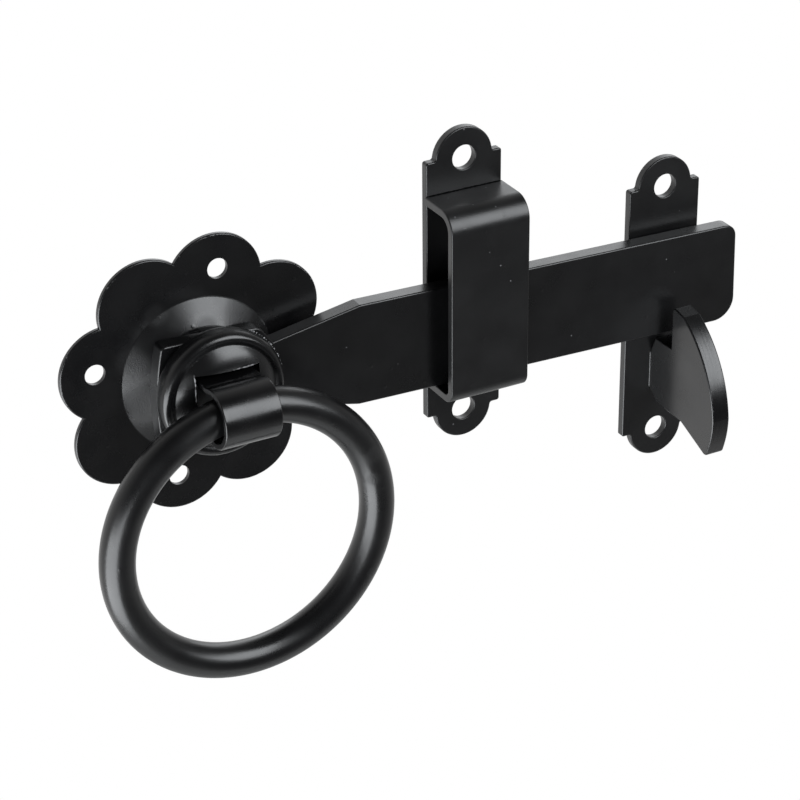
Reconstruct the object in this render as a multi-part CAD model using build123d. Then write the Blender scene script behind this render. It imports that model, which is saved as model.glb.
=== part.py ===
from build123d import *
from math import atan2, cos, radians, sqrt, tan
import os

# Ring-handle gate latch: a rose with a ring handle and a lifting bar, a keeper and a catch.
#
# The gate face is the plane Y = 0 and every piece stands out from it towards -Y. X runs along the bar,
# Z is up, and the origin is where the spindle's axis meets the gate face. Lengths are in millimetres and
# angles in degrees. A value whose name ends in _front is how far that face stands out from the gate.

# Clearances
slide_gap = 0.1
journal_gap = 0.05
pin_gap = 0.02
rest_gap = 0.05

# Rose: a pressed sheet with eight lobes and a raised middle
rose_sheet = 1.4
lobe_count = 8
lobe_radius = 14.6
lobe_circle_radius = 28.06
rose_turn = -13.3
rose_hole_radius = 3.1
rose_hole_circle_radius = 32.1
rose_hole_count = 4
rose_edge_round = 0.5
dome_front = 5.0
dome_foot_radius = 23.7
dome_top_radius = 15.9
dome_foot_fillet = 1.0
dome_top_fillet = 2.2
dome_skirt = 1.6

# Latch bar: a flat bar with a square head, a waist and a rounded end
bar_thickness = 5.0
bar_height = 32.0
bar_reach = 179.0
bar_end_slant = 1.5
bar_offset = -1.07
bar_droop = 1.55
head_half_length = 16.6
head_end_bulge = 1.7
head_flat_end = 15.4
head_corner = 1.2
head_shoulder_round = 4.0
waist_reach = 19.6
waist_half_height = 10.3
taper_reach = 47.5
bar_end_top_round = 4.0
bar_end_bottom_round = 7.0
bar_edge_round = 0.5
bar_back_round = 0.3

# Boss: a turned knob that carries the ring clip
boss_base_radius = 16.9
boss_radius = 19.2
boss_bulge_front = 14.2
boss_rim_radius = 18.0
boss_rim_front = 17.9
boss_groove_radius = 15.6
boss_groove_front = 17.7
boss_groove_round = 0.6
boss_dome_front = 21.0
boss_dome_heading = (-1, -0.85)

# Ring clip: a strap bent round the ring, with both ends in the boss's slot
clip_width = 17.4
clip_edge_round = 0.35
clip_strip = 1.8
clip_shift = 0.85
clip_axis_height = -0.5
eye_front_centre = 28.0
eye_inner_radius = 7.0
neck_half_height = 6.1
neck_fillet = 4.0
slot_side_gap = 1.1
slot_top_gap = 1.45

# Ring handle: a round bar bent to a ring, a little wider than high
ring_half_width = 40.85
ring_half_height = 40.65
ring_bar_radius = 5.2
ring_shift = 2.0
ring_axis_front = 28.0
ring_axis_height = 0.6

# Spindle, with its washer and the pin that holds the clip
shank_half_width = 5.0
shank_corner = 0.8
journal_radius = 6.0
washer_radius = 11.5
washer_thickness = 1.5
peened_radius = 8.6
peened_thickness = 1.1
peened_round = 0.8
clip_pin_radius = 2.0
clip_pin_front = 14.2
clip_pin_sink = 0.2
clip_pin_chamfer = 0.4

# Keeper: a strap bridge on a plate
plate_thickness = 2.5
plate_width = 25.1
tab_radius = 9.4
tab_hole_radius = 3.8
tab_hole_inset = 0.45
plate_corner = 0.8
tab_root_fillet = 0.8
plate_edge_round = 0.45
hole_edge_round = 0.35
keeper_reach = 86.4
keeper_plate_height = 83.0
keeper_plate_middle = 7.75
staple_width = 26.0
staple_strip = 2.5
staple_front = 18.4
staple_top = 38.9
staple_top_round = 6.5
staple_bottom_round = 4.2
staple_edge_round = 0.4

# Catch: a hook on a plate
catch_reach = 156.8
catch_plate_height = 84.3
catch_plate_middle = -17.05
hook_thickness = 6.1
hook_side_inset = 9.55
hook_notch_front = 13.6
hook_notch_drop = 4.1
hook_notch_back = 4.8
hook_root_drop = 4.9
hook_tip_rise = 14.6
hook_tip_width = 6.0
hook_nose_front = 37.6
hook_nose_drop = 14.6
hook_toe_front = 34.8
hook_toe_drop = 28.2
hook_toe_round = 1.8
hook_tip_round = 1.4
hook_tip_slant = 1.2
hook_brow_setback = 3.6
hook_brow_drop = 2.2
hook_nose_heading = (-0.02, -1)
hook_toe_heading = (0.35, -1)
hook_heel_front = 20.5
hook_heel_drop = 22.4
hook_foot_front = 6.6
hook_foot_drop = 21.9
hook_foot_rise = 3.2
hook_edge_round = 0.5

# Places worked out from the sizes above
bar_back = dome_front + slide_gap
bar_front = bar_back + bar_thickness
bar_half_height = bar_height / 2
droop = radians(bar_droop)
neck_outer = neck_half_height + clip_strip
eye_outer_radius = eye_inner_radius + clip_strip
slot_half_width = clip_width / 2 + slot_side_gap
slot_half_height = neck_outer + slot_top_gap
plate_half_width = plate_width / 2
staple_right = keeper_reach + staple_width / 2


def bar_bottom_at(reach):
    """Height of the drooping bar's lower edge at a distance along X."""
    return -reach * tan(droop) + (bar_offset - bar_half_height) / cos(droop)


def slab(outline, back, front):
    """An outline in X and Z, made solid between two distances from the gate."""
    return extrude(Plane.XZ.offset(back) * outline, front - back)


def side_slab(outline, start, width):
    """An outline in Y and Z, made solid along X."""
    return extrude(Plane.YZ.offset(start) * outline, width)


def turned(*points):
    """A face in the XY plane through (radius, distance from the gate) points."""
    return make_face(Polyline(*[(radius, -front) for radius, front in points], close=True))


def vertex_at(face, across, up):
    """The vertex of a flat face nearest to a point of its own plane."""
    return face.vertices().sort_by_distance((across, up, 0))[0]


def rose_plate():
    slope = atan2(dome_front - rose_sheet, dome_foot_radius - dome_top_radius)
    inset = rose_sheet * tan(slope / 2)
    skirt_radius = dome_foot_radius + dome_skirt
    foot_inner = dome_foot_radius - inset
    top_inner = dome_top_radius - inset
    bore = journal_radius + journal_gap
    dome = turned(
        (skirt_radius, rose_sheet),
        (dome_foot_radius, rose_sheet),
        (dome_top_radius, dome_front),
        (bore, dome_front),
        (bore, dome_front - rose_sheet),
        (top_inner, dome_front - rose_sheet),
        (foot_inner, 0),
        (skirt_radius, 0),
    )
    dome = fillet(vertex_at(dome, dome_foot_radius, -rose_sheet), dome_foot_fillet)
    dome = fillet(vertex_at(dome, foot_inner, 0), dome_foot_fillet + rose_sheet)
    dome = fillet(vertex_at(dome, dome_top_radius, -dome_front), dome_top_fillet)
    dome = fillet(vertex_at(dome, top_inner, -(dome_front - rose_sheet)), dome_top_fillet - rose_sheet)

    sheet = Circle(lobe_circle_radius)
    for place in PolarLocations(lobe_circle_radius, lobe_count, start_angle=rose_turn):
        sheet += place * Circle(lobe_radius)
    for place in PolarLocations(rose_hole_circle_radius, rose_hole_count, start_angle=rose_turn):
        sheet -= place * Circle(rose_hole_radius)
    plate = slab(sheet, 0, rose_sheet)
    rim = plate.faces().sort_by(Axis.Y)[0].outer_wire().edges()
    plate = fillet(rim, rose_edge_round)
    plate -= slab(Circle(skirt_radius), 0, rose_sheet)
    return plate + revolve(dome, Axis.Y)


def latch_bar():
    top = bar_half_height
    head_end = -head_half_length + head_end_bulge
    sides = Polyline(
        (head_end, top),
        (head_flat_end, top),
        (waist_reach, waist_half_height),
        (taper_reach, top),
        (bar_reach - bar_end_slant / 2, top),
        (bar_reach + bar_end_slant / 2, -top),
        (taper_reach, -top),
        (waist_reach, -waist_half_height),
        (head_flat_end, -top),
        (head_end, -top),
    )
    outline = make_face(sides + ThreePointArc((head_end, -top), (-head_half_length, 0), (head_end, top)))
    for side in (-top, top):
        outline = fillet(vertex_at(outline, head_end, side), head_corner)
        outline = fillet(vertex_at(outline, head_flat_end, side), head_shoulder_round)
    outline = fillet(vertex_at(outline, bar_reach + bar_end_slant / 2, -top), bar_end_bottom_round)
    outline = fillet(vertex_at(outline, bar_reach - bar_end_slant / 2, top), bar_end_top_round)
    outline = Pos(0, bar_offset) * outline
    outline -= RectangleRounded(
        2 * (shank_half_width + pin_gap), 2 * (shank_half_width + pin_gap), shank_corner
    )
    bar = slab(Rot(0, 0, -bar_droop) * outline, bar_back, bar_front)
    front_rim = bar.faces().sort_by(Axis.Y)[0].outer_wire().edges()
    bar = fillet(front_rim, bar_edge_round)
    back_rim = bar.faces().sort_by(Axis.Y)[-1].outer_wire().edges()
    return fillet(back_rim, bar_back_round)


def spindle_boss():
    rim = Spline(
        (boss_base_radius, -bar_front),
        (boss_radius, -boss_bulge_front),
        (boss_rim_radius, -boss_rim_front),
        (boss_groove_radius, -boss_groove_front),
    )
    dome = Spline(
        (boss_groove_radius, -boss_groove_front),
        (0, -boss_dome_front),
        tangents=(boss_dome_heading, (-1, 0)),
    )
    base = Polyline((0, -boss_dome_front), (0, -bar_front), (boss_base_radius, -bar_front))
    knob = make_face(rim + dome + base)
    knob = fillet(vertex_at(knob, boss_groove_radius, -boss_groove_front), boss_groove_round)
    slot = Pos(clip_shift, clip_axis_height) * Rectangle(2 * slot_half_width, 2 * slot_half_height)
    slot = slab(Rot(0, 0, -bar_droop) * slot, bar_front, boss_dome_front + slide_gap)
    return Pos(clip_shift, 0, 0) * revolve(knob, Axis.Y) - slot


def clip_outline(eye, neck):
    """The eye and neck of the clip, as an outline whose size is set by its eye and neck radii."""
    back = bar_front + slide_gap
    centre = (-eye_front_centre, clip_axis_height)
    strands = Rectangle(eye_front_centre - back, 2 * neck)
    outline = Pos(*centre) * Circle(eye) + Pos((-back - eye_front_centre) / 2, clip_axis_height) * strands
    meet = -eye_front_centre + sqrt(eye ** 2 - neck ** 2)
    for side in (-neck, neck):
        outline = fillet(vertex_at(outline, meet, clip_axis_height + side), neck_fillet)
    return outline


def ring_clip():
    strap = clip_outline(eye_outer_radius, neck_outer) - clip_outline(eye_inner_radius, neck_half_height)
    clip = side_slab(strap, clip_shift - clip_width / 2, clip_width)
    ends = clip.faces().sort_by(Axis.X)
    rims = ends[0].edges() + ends[-1].edges()
    clip = fillet([edge for edge in rims if edge.center().Y < -bar_front - slide_gap], clip_edge_round)
    return clip - clip_pin_hole()


def clip_pin_hole():
    """Room for the pin, which passes down through both strands and the spindle's head."""
    reach = 2 * slot_half_height
    hole = Cylinder(clip_pin_radius + pin_gap, reach)
    return Pos(clip_shift, -clip_pin_front, clip_axis_height) * hole


def clip_pin():
    length = 2 * (neck_outer - clip_pin_sink)
    pin = Cylinder(clip_pin_radius, length)
    pin = chamfer(pin.edges().filter_by(GeomType.CIRCLE), clip_pin_chamfer)
    return Pos(clip_shift, -clip_pin_front, clip_axis_height) * pin


def spindle():
    head_half_height = neck_half_height - pin_gap
    head_half_width = clip_width / 2 - pin_gap
    head_front = boss_rim_front
    head = Pos(clip_shift, clip_axis_height) * Rectangle(2 * head_half_width, 2 * head_half_height)
    head = slab(head, bar_front, head_front) - clip_pin_hole()
    shank = RectangleRounded(2 * shank_half_width, 2 * shank_half_width, shank_corner)
    shank = slab(Rot(0, 0, -bar_droop) * shank, bar_back, bar_front)
    washer_back = dome_front - rose_sheet - slide_gap - washer_thickness
    journal = slab(Circle(journal_radius - journal_gap), washer_back, bar_back)
    peened = slab(Circle(peened_radius), washer_back - peened_thickness, washer_back)
    peened = fillet(peened.faces().sort_by(Axis.Y)[-1].edges(), peened_round)
    return head + shank + journal + peened


def back_washer():
    ring = Circle(washer_radius) - Circle(journal_radius + journal_gap)
    front = dome_front - rose_sheet - slide_gap
    return slab(ring, front - washer_thickness, front)


def handle_ring():
    centre = (ring_shift, ring_axis_height - ring_half_height)
    line = Plane.XZ.offset(ring_axis_front) * Pos(*centre) * Edge.make_ellipse(ring_half_width, ring_half_height)
    section = Plane(origin=line @ 0, z_dir=line % 0) * Circle(ring_bar_radius)
    return sweep(section, path=line)


def tabbed_plate(reach, middle, height):
    """A flat strip with a round screw tab at its top and bottom."""
    outline = Rectangle(plate_width, height)
    outline = fillet(outline.vertices(), plate_corner)
    hole_rise = height / 2 - tab_hole_inset
    for side in (-1, 1):
        outline += Pos(0, side * hole_rise) * Circle(tab_radius)
    root_across = sqrt(tab_radius ** 2 - tab_hole_inset ** 2)
    for side in (-1, 1):
        for across in (-root_across, root_across):
            outline = fillet(vertex_at(outline, across, side * height / 2), tab_root_fillet)
        outline -= Pos(0, side * hole_rise) * Circle(tab_hole_radius)
    plate = slab(Pos(reach, middle) * outline, 0, plate_thickness)
    front = plate.faces().sort_by(Axis.Y)[0]
    plate = fillet(front.outer_wire().edges(), plate_edge_round)
    holes = plate.faces().sort_by(Axis.Y)[0].inner_wires().edges()
    return fillet(holes, hole_edge_round)


def round_sides(piece, radius):
    """Rounds the edges round both side faces, but not where the piece meets its plate."""
    ends = piece.faces().sort_by(Axis.X)
    rims = ends[0].edges() + ends[-1].edges()
    return fillet([edge for edge in rims if edge.center().Y < -plate_thickness], radius)


def keeper_staple():
    bottom = bar_bottom_at(staple_right) - rest_gap - staple_strip
    back, front = -plate_thickness, -staple_front
    strap = make_face(Polyline(
        (back, staple_top),
        (front, staple_top),
        (front, bottom),
        (back, bottom),
        close=True,
    ))
    strap = fillet(vertex_at(strap, front, staple_top), staple_top_round)
    strap = fillet(vertex_at(strap, front, bottom), staple_bottom_round)
    room = make_face(Polyline(
        (back, staple_top - staple_strip),
        (front + staple_strip, staple_top - staple_strip),
        (front + staple_strip, bottom + staple_strip),
        (back, bottom + staple_strip),
        close=True,
    ))
    room_front = front + staple_strip
    top_corner = vertex_at(room, room_front, staple_top - staple_strip)
    room = fillet(top_corner, staple_top_round - staple_strip)
    bottom_corner = vertex_at(room, room_front, bottom + staple_strip)
    room = fillet(bottom_corner, staple_bottom_round - staple_strip)
    staple = side_slab(strap - room, keeper_reach - staple_width / 2, staple_width)
    return round_sides(staple, staple_edge_round)


def catch_hook():
    left = catch_reach - plate_half_width + hook_side_inset
    floor = bar_bottom_at(left) - hook_notch_drop
    back = -plate_thickness
    notch = -hook_notch_front
    tip_height = floor + hook_tip_rise
    tip_front = notch - hook_tip_width
    outline = make_face(
        Polyline(
            (-hook_toe_front, floor - hook_toe_drop),
            (-hook_heel_front, floor - hook_heel_drop),
            (-hook_foot_front, floor - hook_foot_drop),
            (back, floor - hook_foot_drop + hook_foot_rise),
            (back, floor - hook_root_drop),
            (-hook_notch_back, floor),
            (notch, floor),
            (notch, tip_height),
            (tip_front, tip_height - hook_tip_slant),
        )
        + ThreePointArc(
            (tip_front, tip_height - hook_tip_slant),
            (-hook_nose_front + hook_brow_setback, floor - hook_brow_drop),
            (-hook_nose_front, floor - hook_nose_drop),
        )
        + Spline(
            (-hook_nose_front, floor - hook_nose_drop),
            (-hook_toe_front, floor - hook_toe_drop),
            tangents=(hook_nose_heading, hook_toe_heading),
        )
    )
    outline = fillet(vertex_at(outline, -hook_toe_front, floor - hook_toe_drop), hook_toe_round)
    outline = fillet(vertex_at(outline, notch, tip_height), hook_tip_round)
    return round_sides(side_slab(outline, left, hook_thickness), hook_edge_round)


def main():
    os.makedirs("parts", exist_ok=True)
    keeper_plate = tabbed_plate(keeper_reach, keeper_plate_middle, keeper_plate_height)
    catch_plate = tabbed_plate(catch_reach, catch_plate_middle, catch_plate_height)
    pieces = {
        "rose_plate": rose_plate(),
        "latch_bar": latch_bar(),
        "spindle_boss": spindle_boss(),
        "ring_clip": ring_clip(),
        "clip_pin": clip_pin(),
        "spindle": spindle(),
        "back_washer": back_washer(),
        "handle_ring": handle_ring(),
        "keeper_plate": keeper_plate,
        "keeper_staple": keeper_staple(),
        "catch_plate": catch_plate,
        "catch_hook": catch_hook(),
    }
    for name, piece in pieces.items():
        export_step(piece, f"parts/{name}.step")


main()
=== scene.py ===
import bpy
import random
from math import cos, pi, radians, sin
from mathutils import Matrix, Vector


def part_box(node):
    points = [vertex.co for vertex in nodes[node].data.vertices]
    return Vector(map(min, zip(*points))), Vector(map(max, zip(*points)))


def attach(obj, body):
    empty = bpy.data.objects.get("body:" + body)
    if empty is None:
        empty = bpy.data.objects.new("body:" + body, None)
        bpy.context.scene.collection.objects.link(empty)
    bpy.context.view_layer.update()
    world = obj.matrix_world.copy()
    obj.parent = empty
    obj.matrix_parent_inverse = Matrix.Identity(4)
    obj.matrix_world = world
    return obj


# Ring-handle gate latch, dressed for the photograph.
# X runs along the latch bar, Z is up and the gate face is the plane Y = 0. Lengths are in metres,
# and a value whose name ends in _SCALE is how many cells of a pattern go into one metre.

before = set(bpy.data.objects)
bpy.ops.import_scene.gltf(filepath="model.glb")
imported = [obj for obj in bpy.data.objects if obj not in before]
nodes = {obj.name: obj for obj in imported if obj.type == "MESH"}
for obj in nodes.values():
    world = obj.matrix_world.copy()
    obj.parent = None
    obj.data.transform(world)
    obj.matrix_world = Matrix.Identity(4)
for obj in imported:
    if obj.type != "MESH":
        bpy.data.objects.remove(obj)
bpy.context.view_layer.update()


# Colours and nodes

def linear(code):
    """An sRGB hex colour as the linear RGBA that Blender's sockets take."""
    channels = [int(code[place:place + 2], 16) / 255 for place in (1, 3, 5)]
    return tuple(c / 12.92 if c <= 0.04045 else ((c + 0.055) / 1.055) ** 2.4 for c in channels) + (1.0,)


def add_node(tree, kind, inputs=None, links=None, **settings):
    """Adds a node of a kind, with its settings, its constant inputs and the outputs linked to its inputs."""
    node = tree.nodes.new(kind)
    for name, value in settings.items():
        setattr(node, name, value)
    for name, value in (inputs or {}).items():
        node.inputs[name].default_value = value
    for name, output in (links or {}).items():
        tree.links.new(output, node.inputs[name])
    return node


def new_material(name):
    """An empty material and its node tree."""
    material = bpy.data.materials.new(name)
    material.use_nodes = True
    material.node_tree.nodes.clear()
    return material, material.node_tree


def finish_material(tree, shader):
    """Links a shader to the material's output."""
    add_node(tree, "ShaderNodeOutputMaterial", links={"Surface": shader.outputs[0]})


def relief(tree, layers):
    """The normal of a surface with layers of relief on it, each a height from 0 to 1 and its depth."""
    below = {}
    for height, depth in layers:
        bump = add_node(
            tree, "ShaderNodeBump", {"Strength": 1.0, "Distance": depth}, {"Height": height, **below}
        )
        below = {"Normal": bump.outputs["Normal"]}
    return below["Normal"]


# Materials

COAT_BLACK = "#0F0F10"
COAT_DUST = "#6E6E70"
COAT_IOR = 1.65

# Orange peel 1.4 mm across, and cloudy changes of sheen 11 mm across
PEEL_SCALE = 700.0
CLOUD_SCALE = 90.0
SHEEN_BELOW = 0.03
SHEEN_ABOVE = 0.04

# Nibs of coat up to 1.3 mm wide, in one of each 29 cells of 2.2 mm
NIB_SCALE = 450.0
NIB_SIZE = 0.3
NIB_SHARE = 0.035

# Pale specks of dust up to 0.6 mm wide, in cells of 3.3 mm
DUST_SCALE = 300.0
DUST_SIZE = 0.09

# Grit 0.4 mm across where the coat is dry, which is duller too
GRIT_SCALE = 2600.0
DRY_DEPTH = 0.00006
DRY_DULLNESS = 0.12

# Lines along the hook's cut edge, 0.7 mm apart across its thickness and 18 mm long
STREAK_SCALE = 1400.0
STREAK_STRETCH = (1.0, 0.04, 0.04)

# Turning rings 0.8 mm apart, painted glint dots 0.9 mm across and crumbs 1.1 mm across
TURNING_SCALE = 400.0
GLINT_SCALE = 1100.0
CRUMB_SCALE = 900.0


def near(tree, place, centre, reach):
    """One up to 0.4 of a reach from a place on the piece, fading to zero at the reach."""
    gap = add_node(tree, "ShaderNodeVectorMath", {1: centre}, {0: place}, operation="DISTANCE")
    fade = add_node(
        tree, "ShaderNodeMapRange",
        {"From Min": 0.4 * reach, "From Max": reach, "To Min": 1.0, "To Max": 0.0},
        {"Value": gap.outputs["Value"]}, interpolation_type="SMOOTHSTEP",
    )
    return fade.outputs["Result"]


def rare_dots(tree, place, scale, size, share):
    """Round dots in a share of the cells, as a mask: their size is a radius in cells, full over its half."""
    cells = add_node(tree, "ShaderNodeTexVoronoi", {"Scale": scale}, {"Vector": place}, feature="F1")
    dot = add_node(
        tree, "ShaderNodeMapRange",
        {"From Min": 0.5 * size, "From Max": size, "To Min": 1.0, "To Max": 0.0},
        {"Value": cells.outputs["Distance"]},
    )
    pick = add_node(tree, "ShaderNodeSeparateColor", links={"Color": cells.outputs["Color"]})
    rare = add_node(
        tree, "ShaderNodeMath", {1: 1 - share}, {0: pick.outputs["Red"]}, operation="GREATER_THAN"
    )
    mask = add_node(
        tree, "ShaderNodeMath", links={0: dot.outputs["Result"], 1: rare.outputs[0]}, operation="MULTIPLY"
    )
    return mask.outputs[0]


def dry_mask(tree, place, dry_places):
    """One at the middle of each dry place and zero away from all of them."""
    dry = None
    for centre, reach in dry_places:
        mask = near(tree, place, centre, reach)
        if dry is not None:
            mask = add_node(
                tree, "ShaderNodeMath", links={0: dry, 1: mask}, operation="MAXIMUM"
            ).outputs[0]
        dry = mask
    return dry


def satin_black_epoxy(name, sheen, peel, nib, dust=0.0, dry_places=(), streak=0.0):
    """Black epoxy powder coat on mild steel: deep black, softly shiny, with orange peel and stray nibs.

    Dry places are where the powder fell thin: there the coat turns gritty and the highlight breaks up.
    """
    material, tree = new_material(name)
    place = add_node(tree, "ShaderNodeTexCoord").outputs["Object"]
    ripple = add_node(tree, "ShaderNodeTexNoise", {"Scale": PEEL_SCALE, "Detail": 2.0}, {"Vector": place})
    cloud = add_node(tree, "ShaderNodeTexNoise", {"Scale": CLOUD_SCALE, "Detail": 4.0}, {"Vector": place})
    nibs = rare_dots(tree, place, NIB_SCALE, NIB_SIZE, NIB_SHARE)
    layers = [(ripple.outputs["Fac"], peel), (nibs, nib)]
    # The cloud's noise lies mostly between 0.35 and 0.65
    rough = add_node(
        tree, "ShaderNodeMapRange",
        {"From Min": 0.35, "From Max": 0.65, "To Min": sheen - SHEEN_BELOW, "To Max": sheen + SHEEN_ABOVE},
        {"Value": cloud.outputs["Fac"]},
    ).outputs["Result"]
    if streak:
        along = add_node(tree, "ShaderNodeMapping", {"Scale": STREAK_STRETCH}, {"Vector": place})
        lines = add_node(
            tree, "ShaderNodeTexNoise", {"Scale": STREAK_SCALE, "Detail": 3.0},
            {"Vector": along.outputs["Vector"]},
        )
        layers.append((lines.outputs["Fac"], streak))
    if dry_places:
        grit = add_node(tree, "ShaderNodeTexNoise", {"Scale": GRIT_SCALE, "Detail": 3.0}, {"Vector": place})
        dry = dry_mask(tree, place, dry_places)
        rise = add_node(
            tree, "ShaderNodeMath", links={0: grit.outputs["Fac"], 1: dry}, operation="MULTIPLY"
        )
        layers.append((rise.outputs[0], DRY_DEPTH))
        rough = add_node(
            tree, "ShaderNodeMath", {1: DRY_DULLNESS}, {0: dry, 2: rough}, operation="MULTIPLY_ADD"
        ).outputs[0]
    inputs = {"IOR": COAT_IOR}
    links = {"Roughness": rough, "Normal": relief(tree, layers)}
    if dust:
        flecks = rare_dots(tree, place, DUST_SCALE, DUST_SIZE, dust)
        tint = add_node(
            tree, "ShaderNodeMix", {"A": linear(COAT_BLACK), "B": linear(COAT_DUST)}, {"Factor": flecks},
            data_type="RGBA",
        )
        links["Base Color"] = tint.outputs["Result"]
    else:
        inputs["Base Color"] = linear(COAT_BLACK)
    shader = add_node(tree, "ShaderNodeBsdfPrincipled", inputs, links)
    finish_material(tree, shader)
    return material


def bright_mild_steel():
    """Bare turned steel, hidden behind the rose: grey and shiny, with fine turning rings."""
    material, tree = new_material("bright_mild_steel")
    place = add_node(tree, "ShaderNodeTexCoord").outputs["Object"]
    rings = add_node(
        tree, "ShaderNodeTexWave", {"Scale": TURNING_SCALE, "Distortion": 0.3}, {"Vector": place},
        wave_type="RINGS", rings_direction="Y",
    )
    shader = add_node(
        tree, "ShaderNodeBsdfPrincipled",
        {"Base Color": linear("#B0B0B0"), "Metallic": 1.0, "Roughness": 0.35},
        {"Normal": relief(tree, [(rings.outputs["Fac"], 0.00001)])},
    )
    finish_material(tree, shader)
    return material


def painted_glint_edge():
    """Pale grey dots painted on sharp edges and nibs, standing in for the glints of light that they catch."""
    material, tree = new_material("painted_glint_edge")
    place = add_node(tree, "ShaderNodeTexCoord").outputs["Object"]
    glint_noise = add_node(tree, "ShaderNodeTexNoise", {"Scale": GLINT_SCALE, "Detail": 2.0}, {"Vector": place})
    glint_mask = add_node(
        tree, "ShaderNodeMapRange", {"From Min": 0.42, "From Max": 0.56}, {"Value": glint_noise.outputs["Fac"]}
    )
    # Painted glints: pale grey dots on near-black
    tint = add_node(
        tree, "ShaderNodeMix", {"A": linear("#1A1A1B"), "B": linear("#A8A8AA")},
        {"Factor": glint_mask.outputs["Result"]}, data_type="RGBA",
    )
    shader = add_node(
        tree, "ShaderNodeBsdfPrincipled", {"Roughness": 0.4, "IOR": COAT_IOR},
        {"Base Color": tint.outputs["Result"]},
    )
    finish_material(tree, shader)
    return material


def shadow_gap():
    """Painted shadow for the unfilled joint between two plates: flat black, because no light comes back out
    of it.
    """
    material, tree = new_material("shadow_gap")
    place = add_node(tree, "ShaderNodeTexCoord").outputs["Object"]
    crumbs = add_node(tree, "ShaderNodeTexNoise", {"Scale": CRUMB_SCALE, "Detail": 2.0}, {"Vector": place})
    shader = add_node(
        tree, "ShaderNodeBsdfPrincipled",
        {"Base Color": linear("#050505"), "Roughness": 0.9, "Specular IOR Level": 0.1},
        {"Normal": relief(tree, [(crumbs.outputs["Fac"], 0.0001)])},
    )
    finish_material(tree, shader)
    return material


sheet_coat = satin_black_epoxy("satin_epoxy_on_plate", sheen=0.36, peel=0.000005, nib=0.00003, dust=0.3)
bar_coat = satin_black_epoxy("satin_epoxy_on_flat_bar", sheen=0.3, peel=0.000008, nib=0.00004, dust=0.12)
hook_coat = satin_black_epoxy(
    "satin_epoxy_on_cut_plate", sheen=0.25, peel=0.000005, nib=0.00003, streak=0.00004
)
# Dry in patches on the dome's slope, above the boss and left of it
rose_coat = satin_black_epoxy(
    "satin_epoxy_on_pressed_sheet", sheen=0.27, peel=0.000008, nib=0.00005, dust=0.15,
    dry_places=(
        ((-0.0125, -0.002, 0.0215), 0.0045),
        ((0.0135, -0.0035, 0.0165), 0.0075),
        ((0.002, -0.0046, 0.0158), 0.004),
        ((-0.0172, -0.0038, -0.004), 0.007),
        ((-0.0205, -0.003, 0.009), 0.006),
    ),
)
# Dry at the right of the rim and beside the slot's left end
boss_coat = satin_black_epoxy(
    "satin_epoxy_on_turned_knob", sheen=0.25, peel=0.000005, nib=0.00003,
    dry_places=(((0.0165, -0.0175, 0.0015), 0.003), ((-0.0105, -0.0195, 0.008), 0.003)),
)
clip_coat = satin_black_epoxy("satin_epoxy_on_strap", sheen=0.24, peel=0.000004, nib=0.00002)
# Dry in spots on the ring's right side and in a patch left of the clip
ring_coat = satin_black_epoxy(
    "satin_epoxy_on_round_bar", sheen=0.3, peel=0.00001, nib=0.00003,
    dry_places=(
        ((0.0395, -0.0325, -0.022), 0.004),
        ((0.0395, -0.0325, -0.03), 0.003),
        ((0.0385, -0.0325, -0.061), 0.0025),
        ((-0.014, -0.0325, -0.007), 0.008),
    ),
)
steel = bright_mild_steel()
# Painted glints of light for the knob's edge nibs and the slot's mouth
glint_finish = painted_glint_edge()
# Painted shadow for the keeper's joint
gap = shadow_gap()

finishes = {
    "rose_plate": rose_coat,
    "latch_bar": bar_coat,
    "spindle_boss": boss_coat,
    "ring_clip": clip_coat,
    "clip_pin": clip_coat,
    "handle_ring": ring_coat,
    "keeper_plate": sheet_coat,
    "keeper_staple": sheet_coat,
    "catch_plate": sheet_coat,
    "catch_hook": hook_coat,
    "spindle": steel,
    "back_washer": steel,
}
for name, node in nodes.items():
    node.data.materials.clear()
    node.data.materials.append(finishes[name])


# Small made pieces

# A bead is an eight-sided thread, cut every 0.8 of its thickness and pinched by 0.6 over 3% of each end.
# An edge longer than 0.9 of the bead runs from end to end.
BEAD_SIDES = 8
BEAD_STEP = 0.8
BEAD_END = 0.03
BEAD_PINCH = 0.6
LONG_EDGE = 0.9

# The Y of a place in front of every piece, where the lines that look for a front face start
RAY_START = -0.2

# Drops are 0.4 to 0.8 mm across, up to 0.2 mm out of the knob's side and 0.4 mm off its widest line,
# and up to 0.4 of their spacing out of turn
DROP_LEAST = 0.0002
DROP_MOST = 0.0004
DROP_OUT = 0.0002
DROP_OFF_LINE = 0.0004
DROP_STRAY = 0.4
DROP_WAVER = 0.00005
DROP_SEED = 11


def clear_selection():
    """Leaves nothing selected."""
    bpy.ops.object.select_all(action="DESELECT")


def front_face(carrier, place):
    """Where a line from in front of the gate first meets a CAD node, along Y."""
    hit, spot, _, _ = nodes[carrier].ray_cast((place.x, RAY_START, place.z), (0, 1, 0))
    return spot.y if hit else place.y


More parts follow.
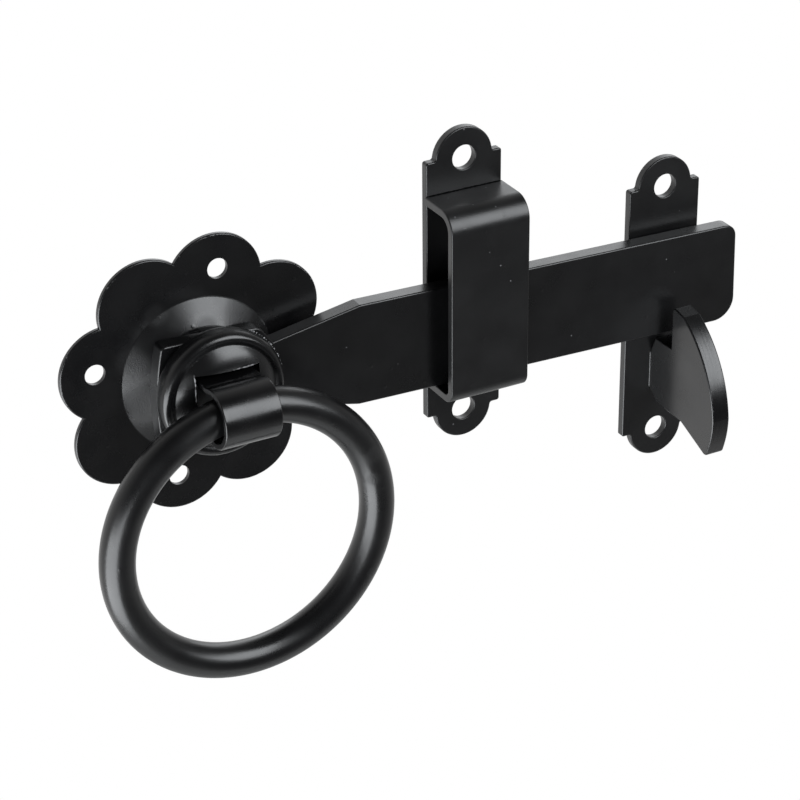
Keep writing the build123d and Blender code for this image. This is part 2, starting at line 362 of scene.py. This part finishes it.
def bead(name, start, end, thickness, waver, seed, finish, body, carrier=None):
    """A rough thread of coat or weld from start to end, laid on a carrier's front face where one is named."""
    clear_selection()
    start, end = Vector(start), Vector(end)
    run = end - start
    turn = run.to_track_quat("Z", "Y").to_euler()
    bpy.ops.mesh.primitive_cylinder_add(
        vertices=BEAD_SIDES, radius=thickness / 2, depth=run.length, location=(start + end) / 2,
        rotation=turn,
    )
    piece = bpy.context.object
    piece.name = name
    bpy.ops.object.transform_apply(location=True, rotation=True, scale=True)
    mesh = piece.data
    along = run.normalized()
    # Only the edges that run from end to end are cut
    bpy.ops.object.mode_set(mode="EDIT")
    bpy.ops.mesh.select_mode(type="EDGE")
    bpy.ops.mesh.select_all(action="DESELECT")
    bpy.ops.object.mode_set(mode="OBJECT")
    for edge in mesh.edges:
        ends = [mesh.vertices[place].co for place in edge.vertices]
        edge.select = (ends[1] - ends[0]).length > LONG_EDGE * run.length
    bpy.ops.object.mode_set(mode="EDIT")
    bpy.ops.mesh.subdivide(number_cuts=int(run.length / (BEAD_STEP * thickness)))
    bpy.ops.mesh.select_mode(type="VERT")
    bpy.ops.mesh.select_all(action="SELECT")
    bpy.ops.transform.vertex_random(offset=waver, seed=seed)
    bpy.ops.object.mode_set(mode="OBJECT")
    for vertex in mesh.vertices:
        station = (vertex.co - start).dot(along)
        middle = start + along * station
        if carrier:
            vertex.co.y += front_face(carrier, middle) - middle.y
            middle.y = vertex.co.y
        if min(station, run.length - station) < BEAD_END * run.length:
            vertex.co = vertex.co.lerp(middle, BEAD_PINCH)
    rounding = piece.modifiers.new("round", "SUBSURF")
    rounding.levels = 1
    rounding.render_levels = 1
    bpy.ops.object.modifier_apply(modifier="round")
    bpy.ops.object.shade_smooth()
    mesh.materials.append(finish)
    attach(piece, body)


def nibs_round_knob(name, centre, radius, front, first, last, count):
    """Hard little drops of coat along the knob's widest line, between two angles from +X, coloured with
    painted glints of light.
    """
    chance = random.Random(DROP_SEED)
    drops = []
    for number in range(count):
        turn = radians(first + (last - first) * (number + chance.uniform(-DROP_STRAY, DROP_STRAY)) / count)
        reach = radius + chance.uniform(0.0, DROP_OUT)
        size = chance.uniform(DROP_LEAST, DROP_MOST)
        depth = -front - chance.uniform(-DROP_OFF_LINE, DROP_OFF_LINE)
        clear_selection()
        bpy.ops.mesh.primitive_ico_sphere_add(
            subdivisions=2, radius=size, location=(centre + reach * cos(turn), depth, reach * sin(turn))
        )
        drop = bpy.context.object
        bpy.ops.object.transform_apply(location=True, rotation=True, scale=True)
        bpy.ops.object.mode_set(mode="EDIT")
        bpy.ops.mesh.select_all(action="SELECT")
        bpy.ops.transform.vertex_random(offset=DROP_WAVER, seed=number)
        bpy.ops.object.mode_set(mode="OBJECT")
        drops.append(drop)
    for drop in drops:
        drop.select_set(True)
    bpy.context.view_layer.objects.active = drops[0]
    bpy.ops.object.join()
    piece = bpy.context.object
    piece.name = name
    bpy.ops.object.shade_smooth()
    piece.data.materials.append(glint_finish)
    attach(piece, "latch")


# A dark strip of painted shadow in the joint behind the keeper's top, which stops just short of both sides
JOINT_LINE_INSET = 0.0003
staple_low, staple_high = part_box("keeper_staple")
bead(
    "keeper_joint_shadow_line",
    (staple_low[0] + JOINT_LINE_INSET, staple_high[1], staple_high[2]),
    (staple_high[0] - JOINT_LINE_INSET, staple_high[1], staple_high[2]),
    thickness=0.0006, waver=0.00025, seed=3, finish=gap, body="root",
)

# The welds up both sides of the hook's foot
HOOK_WELD_TOP = -0.0306
HOOK_WELD_FOOT = -0.0438
hook_low, hook_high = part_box("catch_hook")
for side, across in (("left", hook_low[0]), ("right", hook_high[0])):
    bead(
        "hook_weld_" + side,
        (across, hook_high[1], HOOK_WELD_TOP), (across, hook_high[1], HOOK_WELD_FOOT),
        thickness=0.0008, waver=0.00008, seed=5, finish=hook_coat, body="root",
    )

# Rough threads on the mouth of the clip's slot, along its top and left edges, dotted with painted glints of
# light
bead(
    "slot_burr_glint_top", (0.0022, 0, 0.00895), (0.0108, 0, 0.0087),
    thickness=0.0004, waver=0.00012, seed=8, finish=glint_finish, body="latch", carrier="spindle_boss",
)
bead(
    "slot_burr_glint_left", (-0.0089, 0, 0.0096), (-0.0091, 0, 0.0015),
    thickness=0.0004, waver=0.00016, seed=9, finish=glint_finish, body="latch", carrier="spindle_boss",
)
nibs_round_knob(
    "boss_edge_nibs", centre=0.00085, radius=0.0192, front=0.0145, first=-8, last=62, count=34
)


# Studio

OBJECT_MIDDLE = Vector((0.06, -0.01, -0.01))

# The room's light rises behind the gate face and downwards from a middle level, and is never quite out
ROOM_SLOPE = (0.0, 0.5, -0.3)
ROOM_LEVEL = 0.35
ROOM_LEAST = 0.03

LAMP_COLOUR = (0.94, 0.97, 1.0)

# Added to the floor for the camera alone
FLOOR_LIFT = 0.65


def studio_world():
    """A studio that is white to the camera, brighter low down and behind the gate face than up in front."""
    world = bpy.data.worlds.new("studio")
    world.use_nodes = True
    tree = world.node_tree
    tree.nodes.clear()
    direction = add_node(tree, "ShaderNodeTexCoord").outputs["Generated"]
    slope = add_node(
        tree, "ShaderNodeVectorMath", {1: ROOM_SLOPE}, {0: direction}, operation="DOT_PRODUCT"
    )
    level = add_node(
        tree, "ShaderNodeMath", {1: ROOM_LEVEL}, {0: slope.outputs["Value"]}, operation="ADD"
    )
    level = add_node(tree, "ShaderNodeMath", {1: ROOM_LEAST}, {0: level.outputs[0]}, operation="MAXIMUM")
    paths = add_node(tree, "ShaderNodeLightPath")
    seen = add_node(
        tree, "ShaderNodeMix", {"B": 1.0},
        {"Factor": paths.outputs["Is Camera Ray"], "A": level.outputs[0]}, data_type="FLOAT",
    )
    shader = add_node(
        tree, "ShaderNodeBackground", {"Color": (1, 1, 1, 1)}, {"Strength": seen.outputs["Result"]}
    )
    add_node(tree, "ShaderNodeOutputWorld", links={"Surface": shader.outputs[0]})
    bpy.context.scene.world = world


def softbox(name, azimuth, elevation, width, height, radiance):
    """A soft rectangular lamp a metre away, at an azimuth right of straight in front and an elevation."""
    lamp = bpy.data.lights.new(name, "AREA")
    lamp.shape = "RECTANGLE"
    lamp.size = width
    lamp.size_y = height
    lamp.color = LAMP_COLOUR
    lamp.energy = radiance * pi * width * height
    piece = bpy.data.objects.new(name, lamp)
    turn, rise = radians(azimuth), radians(elevation)
    aim = Vector((sin(turn) * cos(rise), -cos(turn) * cos(rise), sin(rise)))
    facing = aim.to_track_quat("Z", "Y").to_matrix().to_4x4()
    piece.matrix_world = Matrix.Translation(OBJECT_MIDDLE + aim) @ facing
    piece.visible_camera = False
    bpy.context.scene.collection.objects.link(piece)


def pale_floor(name, height, radius):
    """A round sheet of white paper well below the latch, lit up for the camera so that only shadows show."""
    clear_selection()
    bpy.ops.mesh.primitive_circle_add(
        vertices=96, radius=radius, fill_type="NGON", location=(OBJECT_MIDDLE.x, OBJECT_MIDDLE.y, height)
    )
    floor = bpy.context.object
    floor.name = name
    bpy.ops.object.transform_apply(location=True, rotation=True, scale=True)
    material, tree = new_material("white_paper")
    paper = add_node(tree, "ShaderNodeBsdfDiffuse", {"Color": linear("#F0F0EE")})
    paths = add_node(tree, "ShaderNodeLightPath")
    lift = add_node(
        tree, "ShaderNodeMath", {1: FLOOR_LIFT}, {0: paths.outputs["Is Camera Ray"]}, operation="MULTIPLY"
    )
    glow = add_node(tree, "ShaderNodeEmission", {"Color": (1, 1, 1, 1)}, {"Strength": lift.outputs[0]})
    both = add_node(tree, "ShaderNodeAddShader", links={0: paper.outputs[0], 1: glow.outputs[0]})
    finish_material(tree, both)
    floor.data.materials.append(material)


studio_world()
pale_floor("floor", height=-0.45, radius=0.35)
softbox("right_softbox", azimuth=32, elevation=31, width=0.66, height=0.76, radiance=4.9)
softbox("left_softbox", azimuth=-63, elevation=-29, width=1.15, height=0.95, radiance=4.6)
softbox("back_softbox", azimuth=152, elevation=20, width=1.0, height=0.5, radiance=1.6)


# Camera, solved from the photograph's plates, bar and rose

CAMERA_TURN = radians(-28.257)
CAMERA_RISE = radians(27.996)
CAMERA_ROLL = radians(-0.538)
CAMERA_TARGET = Vector((0.0574, 0.0, 0.0))
CAMERA_DISTANCE = 0.8086
CAMERA_SIDE_SHIFT = 0.0077
CAMERA_RISE_SHIFT = -0.02144
CAMERA_LENS = 123.83
CAMERA_SENSOR = 36.0
CAMERA_NEAR = 0.01


def photo_camera():
    """The photograph's camera, moved a little aside and down from its target to frame the latch."""
    level_reach = cos(CAMERA_RISE)
    back = Vector((sin(CAMERA_TURN) * level_reach, -cos(CAMERA_TURN) * level_reach, sin(CAMERA_RISE)))
    level = Vector((cos(CAMERA_TURN), sin(CAMERA_TURN), 0.0))
    upright = back.cross(level)
    right = cos(CAMERA_ROLL) * level + sin(CAMERA_ROLL) * upright
    up = cos(CAMERA_ROLL) * upright - sin(CAMERA_ROLL) * level
    place = CAMERA_TARGET + back * CAMERA_DISTANCE + right * CAMERA_SIDE_SHIFT + up * CAMERA_RISE_SHIFT
    lens = bpy.data.cameras.new("photo_camera")
    lens.lens = CAMERA_LENS
    lens.sensor_width = CAMERA_SENSOR
    lens.clip_start = CAMERA_NEAR
    camera = bpy.data.objects.new("photo_camera", lens)
    turn = Matrix((right, up, back)).transposed().to_4x4()
    camera.matrix_world = Matrix.Translation(place) @ turn
    bpy.context.scene.collection.objects.link(camera)
    bpy.context.scene.camera = camera


photo_camera()
bpy.context.scene.view_settings.view_transform = "Standard"
